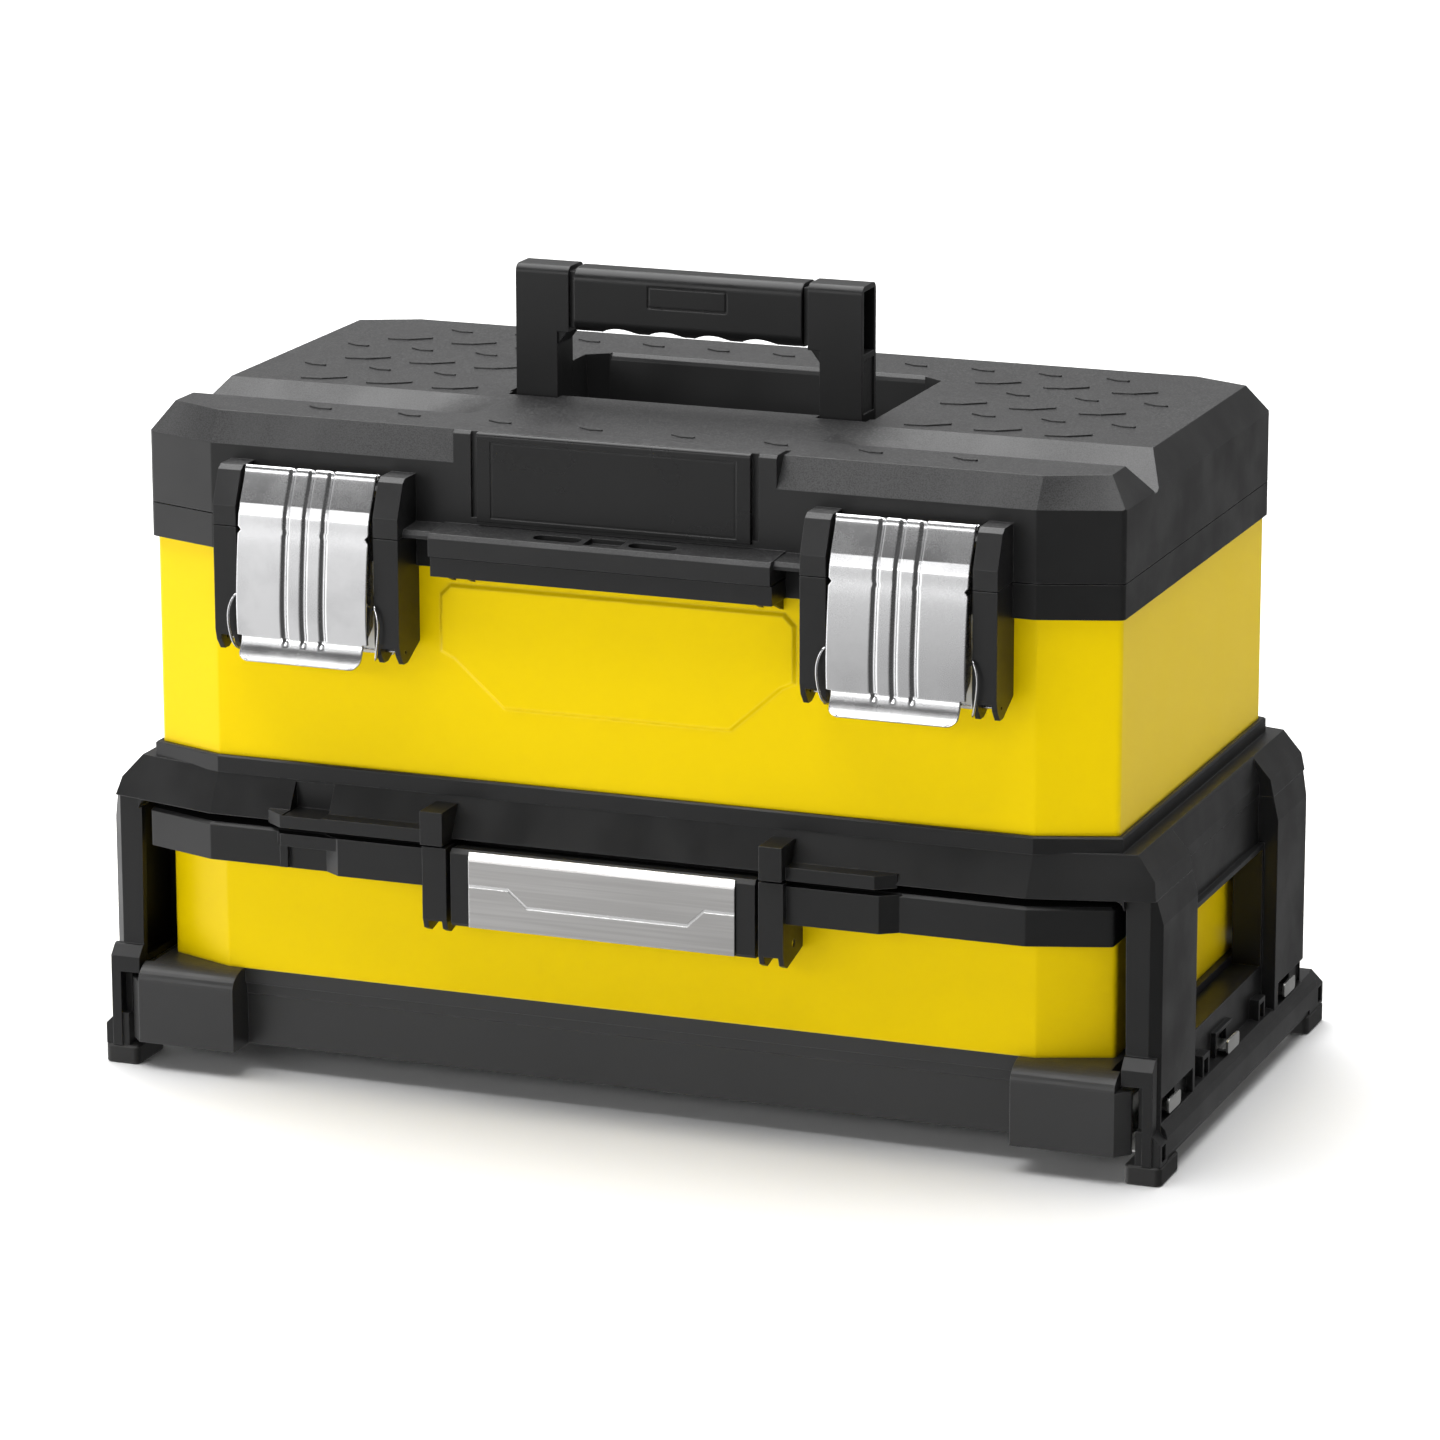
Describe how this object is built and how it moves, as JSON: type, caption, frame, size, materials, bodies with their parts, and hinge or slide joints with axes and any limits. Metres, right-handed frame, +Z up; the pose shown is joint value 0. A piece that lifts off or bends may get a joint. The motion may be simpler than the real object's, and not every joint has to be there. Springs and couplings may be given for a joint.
{
  "type": "tool box",
  "caption": "Hand-carried steel and plastic tool box with a hinged lid, two toggle latches, a folding carry handle and a ball-bearing drawer in a housing below.",
  "frame": {"origin": "under the middle of the overall box, on the floor it stands on", "axes": "+Z up, -Y towards the front with the latches and drawer, +X to the right seen from the front"},
  "size_m": [0.545, 0.313, 0.396],
  "materials": {
    "black_plastic": "satin moulded",
    "lid_plastic": "fine grained",
    "grip_rubber": "satin",
    "foot_rubber": "matte",
    "plate_plastic": "satin",
    "yellow_paint": "satin powder coat",
    "latch_chrome": "bright zinc",
    "zinc_steel": "zinc plated",
    "bright_steel": "polished",
    "brushed_aluminium": "brushed"
  },
  "bodies": {
    "root": {"housing_top_frame": "black_plastic", "side_frame_left": "black_plastic", "side_frame_right": "black_plastic", "rear_panel": "black_plastic", "foot_front_left": "foot_rubber", "foot_front_right": "foot_rubber", "foot_rear_left": "foot_rubber", "foot_rear_right": "foot_rubber", "slide_outer_left": "zinc_steel", "slide_outer_right": "zinc_steel", "steel_box_shell": "yellow_paint", "box_collar": "black_plastic", "lid_hinge_rods": "bright_steel", "latch_back_plate_left": "zinc_steel", "latch_back_plate_right": "zinc_steel", "box_fixing_screws": "bright_steel"},
    "lid_body": {"lid": "lid_plastic", "name_plate": "plate_plastic"},
    "carry_handle": {"handle_frame": "black_plastic", "handle_grip": "grip_rubber", "handle_pivot_pins": "bright_steel"},
    "bail_left": {"latch_bail_left": "latch_chrome"},
    "bail_right": {"latch_bail_right": "latch_chrome"},
    "latch_left": {"latch_plate_left": "latch_chrome"},
    "latch_right": {"latch_plate_right": "latch_chrome"},
    "drawer": {"drawer_base": "black_plastic", "drawer_steel_wrap": "yellow_paint", "drawer_rim": "black_plastic", "drawer_latch_pin": "bright_steel", "slide_inner_left": "zinc_steel", "slide_inner_right": "zinc_steel"},
    "drawer_catch": {"drawer_latch": "black_plastic", "latch_face_plate": "brushed_aluminium"},
    "cage_left": {"ball_cage_left": "zinc_steel", "slide_balls_left": "bright_steel"},
    "cage_right": {"ball_cage_right": "zinc_steel", "slide_balls_right": "bright_steel"}
  },
  "joints": [
    {"name": "lid_hinge", "type": "hinge", "parent": "root", "child": "lid_body", "pos_m": [0, 0.1435, 0.281], "axis": [-1, 0, 0], "range_deg": [0, 100]},
    {"name": "handle_fold", "type": "hinge", "parent": "lid_body", "child": "carry_handle", "pos_m": [0, -0.0175, 0.318], "axis": [-1, 0, 0], "range_deg": [0, 90]},
    {"name": "drawer_slide", "type": "slide", "parent": "root", "child": "drawer", "axis": [0, -1, 0], "range_m": [0, 0.17]},
    {"name": "drawer_catch_hinge", "type": "hinge", "parent": "drawer", "child": "drawer_catch", "pos_m": [0, -0.1275, 0.101], "axis": [1, 0, 0], "range_deg": [0, 35]},
    {"name": "latch_bail_left_hinge", "type": "hinge", "parent": "root", "child": "bail_left", "pos_m": [-0.1495, -0.137, 0.227], "axis": [1, 0, 0], "range_deg": [0, 75]},
    {"name": "latch_plate_left_hinge", "type": "hinge", "parent": "bail_left", "child": "latch_left", "pos_m": [-0.1495, -0.141, 0.247], "axis": [1, 0, 0], "range_deg": [0, 20]},
    {"name": "ball_cage_left_slide", "type": "slide", "parent": "root", "child": "cage_left", "axis": [0, -1, 0], "range_m": [0, 0.085]},
    {"name": "latch_bail_right_hinge", "type": "hinge", "parent": "root", "child": "bail_right", "pos_m": [0.1495, -0.137, 0.227], "axis": [1, 0, 0], "range_deg": [0, 75]},
    {"name": "latch_plate_right_hinge", "type": "hinge", "parent": "bail_right", "child": "latch_right", "pos_m": [0.1495, -0.141, 0.247], "axis": [1, 0, 0], "range_deg": [0, 20]},
    {"name": "ball_cage_right_slide", "type": "slide", "parent": "root", "child": "cage_right", "axis": [0, -1, 0], "range_m": [0, 0.085]}
  ],
  "couplings": [
    {"joint": "ball_cage_left_slide", "follows": "drawer_slide", "ratio": 0.5},
    {"joint": "ball_cage_right_slide", "follows": "drawer_slide", "ratio": 0.5}
  ]
}
